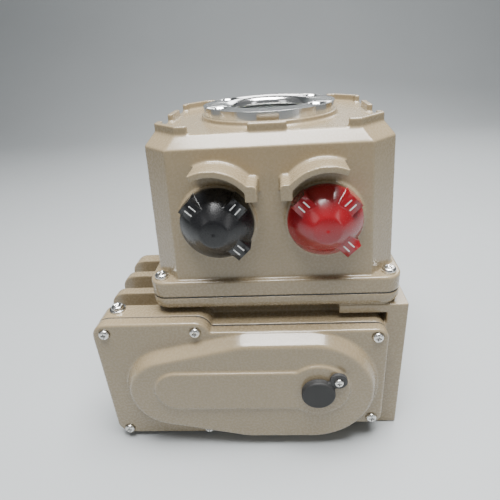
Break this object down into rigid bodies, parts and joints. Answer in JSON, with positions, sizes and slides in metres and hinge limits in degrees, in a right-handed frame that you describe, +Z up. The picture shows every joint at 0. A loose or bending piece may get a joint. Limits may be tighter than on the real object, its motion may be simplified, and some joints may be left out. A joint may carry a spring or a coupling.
{
  "type": "motorized valve actuator",
  "caption": "Quarter-turn motorized valve actuator: cast housing with finned motor barrel, gear cover, control cover with round window and two selector knobs.",
  "frame": {"origin": "output shaft axis on the bottom mounting face", "axes": "+Z up along the output shaft, -Y towards the gear cover and knobs"},
  "size_m": [0.2305, 0.207, 0.2528],
  "materials": {
    "cast_paint": "glossy cast paint",
    "stainless": "polished",
    "steel_part": "satin",
    "zinc_screw": "bright zinc",
    "bronze": "satin",
    "brass_part": "satin",
    "black_rubber": "matte",
    "black_plastic": "glossy",
    "red_plastic": "glossy",
    "dark_plastic": "matte",
    "gland_plastic": "matte",
    "window": "clear",
    "dial_paint": "matte",
    "board": "satin",
    "copper": "enamelled wire",
    "lamination": "laminated",
    "alu": "satin"
  },
  "bodies": {
    "housing": {"ball_bearings": "steel_part", "board_standoffs": "brass_part", "cap_screw": "zinc_screw", "cap_tab": "black_rubber", "capacitor_clip": "alu", "circuit_board": "board", "control_cover": "cast_paint", "control_cover_gasket": "black_rubber", "control_cover_screws": "zinc_screw", "divider_plate": "alu", "divider_screws": "zinc_screw", "earth_screw": "zinc_screw", "gear_cover": "cast_paint", "gear_cover_gasket": "black_rubber", "gear_cover_screws": "zinc_screw", "gear_housing": "cast_paint", "gland_bodies": "gland_plastic", "gland_nuts": "gland_plastic", "gland_seals": "black_rubber", "idler_pins": "steel_part", "knob_bushes": "brass_part", "limit_switches": "dark_plastic", "motor_bells": "alu", "motor_capacitor": "alu", "motor_screws": "zinc_screw", "motor_stator": "lamination", "motor_winding": "copper", "output_bushes": "bronze", "potentiometer": "dark_plastic", "scale_plate": "alu", "selector_plate": "alu", "selector_switches": "dark_plastic", "shaft_seals": "black_rubber", "switch_bracket": "alu", "terminal_block": "dark_plastic", "travel_stop_nuts": "steel_part", "travel_stop_screws": "steel_part", "window_glass": "window", "window_ring": "stainless", "window_ring_screws": "zinc_screw", "window_seals": "black_rubber"},
    "motor_rotor": {"motor_rotor": "lamination", "motor_shaft": "steel_part", "motor_pinion": "steel_part"},
    "first_idler": {"first_idler": "steel_part"},
    "second_idler": {"second_idler": "steel_part"},
    "worm": {"worm_shaft": "steel_part", "worm_gear": "steel_part"},
    "output": {"output_shaft": "steel_part", "worm_wheel": "bronze", "stop_sector": "steel_part", "limit_cams": "dark_plastic", "position_gear": "dark_plastic", "indicator_dial": "dial_paint"},
    "potentiometer_spindle": {"potentiometer_pinion": "dark_plastic"},
    "local_control": {"local_control_knob": "black_plastic", "local_control_spindle": "steel_part"},
    "mode_selector": {"mode_knob": "red_plastic", "mode_spindle": "steel_part"},
    "hand_drive_cap": {"hand_drive_cap": "black_rubber"}
  },
  "joints": [
    {"name": "motor_turn", "type": "hinge", "parent": "housing", "child": "motor_rotor", "pos_m": [-0.0745, 0, 0.061], "axis": [0, 1, 0], "range_deg": [0, 226712.29]},
    {"name": "first_idler_turn", "type": "hinge", "parent": "housing", "child": "first_idler", "pos_m": [-0.0455, 0, 0.061], "axis": [0, -1, 0], "range_deg": [0, 59142.86]},
    {"name": "second_idler_turn", "type": "hinge", "parent": "housing", "child": "second_idler", "pos_m": [-0.0155, 0, 0.061], "axis": [0, 1, 0], "range_deg": [0, 18000]},
    {"name": "worm_turn", "type": "hinge", "parent": "housing", "child": "worm", "pos_m": [0.0295, 0, 0.061], "axis": [0, -1, 0], "range_deg": [0, 3600]},
    {"name": "output_turn", "type": "hinge", "parent": "housing", "child": "output", "pos_m": [0, 0, 0], "axis": [0, 0, 1], "range_deg": [0, 90]},
    {"name": "potentiometer_turn", "type": "hinge", "parent": "housing", "child": "potentiometer_spindle", "pos_m": [-0.036, 0, 0.136], "axis": [0, 0, -1], "range_deg": [0, 180]},
    {"name": "local_control_turn", "type": "hinge", "parent": "housing", "child": "local_control", "pos_m": [-0.0354, -0.08, 0.1866], "axis": [0, -1, 0], "range_deg": [-45, 45]},
    {"name": "mode_turn", "type": "hinge", "parent": "housing", "child": "mode_selector", "pos_m": [0.0354, -0.08, 0.1866], "axis": [0, -1, 0], "range_deg": [-45, 45]},
    {"name": "cap_lift", "type": "hinge", "parent": "housing", "child": "hand_drive_cap", "pos_m": [0.0396, -0.1052, 0.06918], "axis": [-0.6293, 0, 0.7771], "range_deg": [0, 90]}
  ],
  "couplings": [
    {"joint": "first_idler_turn", "follows": "motor_turn", "ratio": 0.26087},
    {"joint": "second_idler_turn", "follows": "motor_turn", "ratio": 0.079395},
    {"joint": "worm_turn", "follows": "motor_turn", "ratio": 0.015879},
    {"joint": "output_turn", "follows": "motor_turn", "ratio": 0.00039698},
    {"joint": "potentiometer_turn", "follows": "motor_turn", "ratio": 0.00079395}
  ]
}
